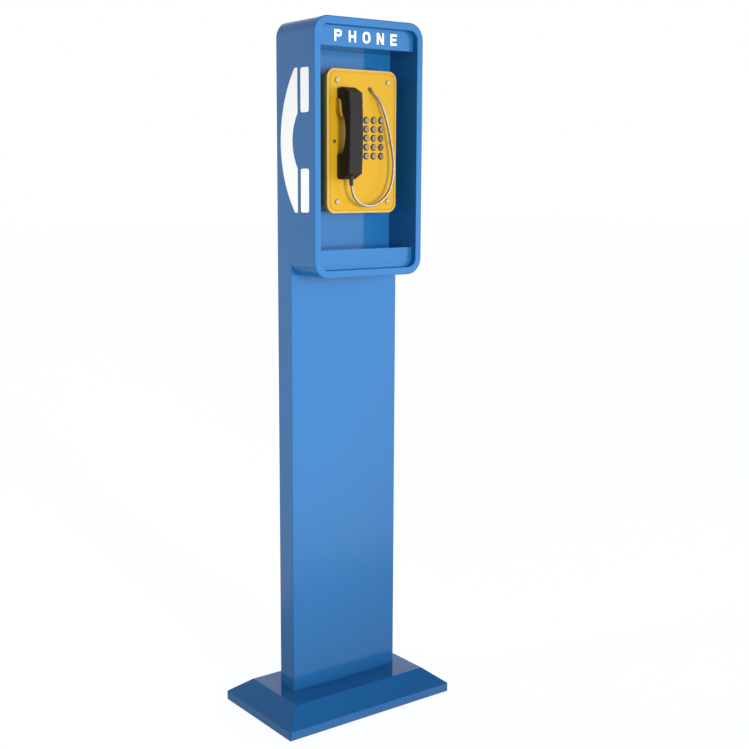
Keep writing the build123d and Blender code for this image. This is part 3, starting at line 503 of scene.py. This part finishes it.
def cord_steel():
    """Wound stainless strip: bright crests and darker grooves come from the mesh, grime from noise."""
    material, tree, place = new_material("cord_steel", Metallic=1.0)
    grime = tree.ramp(tree.noise(place, 95.0, 5.0, 0.6), [(0.42, 0.0), (0.8, 1.0)])
    base = tree.blend(grime, (0.56, 0.52, 0.43), (0.34, 0.31, 0.25))
    rough = tree.span(tree.noise(place, 700.0, 3.0), 0.20, 0.38)
    tree.dress(base, rough, tree.bump(tree.noise(place, 2500.0, 2.0), 0.00002))
    return material


def circuit_board():
    """Green lacquer over copper tracks."""
    material, tree, place = new_material("circuit_board", Coat_Weight=0.4)
    tracks = tree.add("ShaderNodeTexBrick", Vector=place, Scale=120.0, Mortar_Size=0.012,
                      Color1=(0.012, 0.085, 0.035, 1), Color2=(0.016, 0.100, 0.042, 1),
                      Mortar=(0.05, 0.20, 0.08, 1)).outputs
    rough = tree.span(tree.noise(place, 80.0), 0.25, 0.45)
    tree.dress(tracks["Color"], rough, tree.bump(tracks["Fac"], 0.00004))
    return material


def legend_ink():
    """Dark fill of the key legends."""
    material, tree, place = new_material("legend_ink")
    worn = tree.ramp(tree.noise(place, 900.0, 3.0), [(0.45, 0.0), (0.8, 1.0)])
    base = tree.blend(worn, (0.018, 0.018, 0.02), (0.09, 0.09, 0.09))
    tree.dress(base, tree.span(worn, 0.45, 0.7), tree.bump(worn, 0.00002))
    return material


def paint_nodes():
    """Gives every CAD node its material, by the record's slots, and returns the materials by slot."""
    made = {
        "blue_paint": blue_paint(), "yellow_paint": yellow_paint(), "white_vinyl": white_vinyl(),
        "black_plastic": black_plastic(), "dark_plastic": dark_plastic(), "black_rubber": black_rubber(),
        "stainless": bright_steel(), "dark_screw": bronzed_steel(), "zinc_steel": zinc_steel(),
        "cord_steel": cord_steel(), "circuit_board": circuit_board(),
    }
    special = {"cradle": cradle_paint(), "phone_faceplate": faceplate_paint()}
    keys = turned_steel()
    for entry in frame["record"]["subparts"]:
        name = entry["node"]
        if name.startswith("key_"):
            material = keys
        else:
            material = special.get(name, made[entry["material_slot"]])
        mesh = NODES[name].data
        mesh.materials.clear()
        mesh.materials.append(material)
    return made


# ---------------------------------------------------------------- detailed pieces
def link_piece(name, mesh, material):
    """Linked object of one mesh in one material."""
    mesh.materials.clear()
    mesh.materials.append(material)
    piece = bpy.data.objects.new(name, mesh)
    bpy.context.scene.collection.objects.link(piece)
    return piece


def curve_mesh(name, curve):
    """Mesh of a curve or a text, whose own data is then removed."""
    holder = bpy.data.objects.new(name, curve)
    bpy.context.scene.collection.objects.link(holder)
    bpy.context.view_layer.update()
    mesh = bpy.data.meshes.new_from_object(holder)
    bpy.data.objects.remove(holder)
    bpy.data.curves.remove(curve)
    return mesh


def cord_line():
    """Points along the cord's smooth line, read from its NURBS spline."""
    curve = bpy.data.curves.new("cord_line", "CURVE")
    curve.dimensions = "3D"
    curve.resolution_u = 24
    spline = curve.splines.new("NURBS")
    spline.points.add(len(CORD_ROUTE) - 1)
    for point, place in zip(spline.points, CORD_ROUTE):
        point.co = (*place, 1)
    spline.order_u = 3
    spline.use_endpoint_u = True
    return [vertex.co.copy() for vertex in curve_mesh("cord_line", curve).vertices]


def resample(points, step):
    """Points an even step apart along a polyline, ends included, and the polyline's length."""
    lengths = np.array([(b - a).length for a, b in zip(points, points[1:])])
    travelled = np.concatenate([[0], np.cumsum(lengths)])
    count = int(round(travelled[-1] / step))
    targets = np.linspace(0, travelled[-1], count + 1)
    columns = [np.interp(targets, travelled, [p[axis] for p in points]) for axis in range(3)]
    return [Vector(place) for place in zip(*columns)], travelled[-1]


def carried_frames(points):
    """Normal and binormal at each point, carried along without twist."""
    frames = []
    normal = None
    for index in range(len(points)):
        before = points[max(index - 1, 0)]
        after = points[min(index + 1, len(points) - 1)]
        tangent = (after - before).normalized()
        if normal is None:
            normal = tangent.orthogonal()
        normal = (normal - tangent * normal.dot(tangent)).normalized()
        frames.append((normal, tangent.cross(normal)))
    return frames


def wound_mesh(points, length):
    """Smooth closed tube along points, with one turn of a narrow groove in each pitch."""
    step = length / (len(points) - 1)
    vertices = []
    for ring, (centre, (normal, binormal)) in enumerate(zip(points, carried_frames(points))):
        for spoke in range(CORD_SPOKES):
            angle = tau * spoke / CORD_SPOKES
            turn = (ring * step / STRIP_PITCH + spoke / CORD_SPOKES) % 1.0
            groove = abs(2 * turn - 1) ** GROOVE_SHARPNESS
            radius = CORD_RADIUS - STRIP_DEPTH * groove
            vertices.append(centre + (normal * cos(angle) + binormal * sin(angle)) * radius)
    faces = []
    for ring in range(len(points) - 1):
        for spoke in range(CORD_SPOKES):
            a = ring * CORD_SPOKES + spoke
            b = ring * CORD_SPOKES + (spoke + 1) % CORD_SPOKES
            faces.append((a, b, b + CORD_SPOKES, a + CORD_SPOKES))
    faces.append(tuple(reversed(range(CORD_SPOKES))))
    faces.append(tuple(range(len(vertices) - CORD_SPOKES, len(vertices))))
    mesh = bpy.data.meshes.new("armoured_cord_wound")
    mesh.from_pydata([tuple(v) for v in vertices], [], faces)
    mesh.update()
    for polygon in mesh.polygons:
        polygon.use_smooth = True
    return mesh


def build_cord(material):
    """Armoured cord: a helically wound strip whose crests stand out as the winding advances."""
    points, length = resample(cord_line(), STRIP_PITCH / RINGS_PER_PITCH)
    cord = link_piece("armoured_cord_wound", wound_mesh(points, length), material)
    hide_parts("armoured_cord")
    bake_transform(cord)


def character_mesh(key, character):
    """One solid character lying on its back, centred on the origin."""
    text = bpy.data.curves.new(key + "_legend", "FONT")
    text.body = character
    text.size = LEGEND_SIZE
    text.extrude = LEGEND_RELIEF
    mesh = curve_mesh(key + "_text", text)
    xs = [vertex.co.x for vertex in mesh.vertices]
    ys = [vertex.co.y for vertex in mesh.vertices]
    mesh.transform(Matrix.Translation((-(min(xs) + max(xs)) / 2, -(min(ys) + max(ys)) / 2, 0)))
    return mesh


def build_legends(material):
    """Filled characters set into the dished faces of the keys."""
    characters = {f"key_{digit}": str(digit) for digit in range(10)}
    characters.update({"key_star": "*", "key_hash": "#"})
    characters.update({"key_volume": "+", "key_hold": "=", "key_redial": "R"})
    upright = Matrix.Rotation(radians(90), 4, "X")
    for key, character in characters.items():
        low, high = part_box(key)
        place = Vector(((low[0] + high[0]) / 2, low[1] + LEGEND_DEPTH, (low[2] + high[2]) / 2))
        mesh = character_mesh(key, character)
        mesh.transform(Matrix.Translation(place) @ upright)
        piece = link_piece(key + "_legend", mesh, material)
        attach(piece, key + "_body")


# ---------------------------------------------------------------- scene
build_camera()
build_world()
build_floor()
build_spotlight("key_lamp", place=(-0.3, -2.8, 1.3), target=(-0.4, 0, 1.16), radius=0.45, cone=48,
                softness=0.55, power=318)
build_spotlight("side_lamp", place=(-4.0, 1.0, 1.2), target=(0, 0, 1.0), radius=0.6, cone=32,
                softness=1.0, power=295)
finishes = paint_nodes()
build_cord(finishes["cord_steel"])
build_legends(legend_ink())
bpy.context.scene.view_settings.view_transform = "Standard"
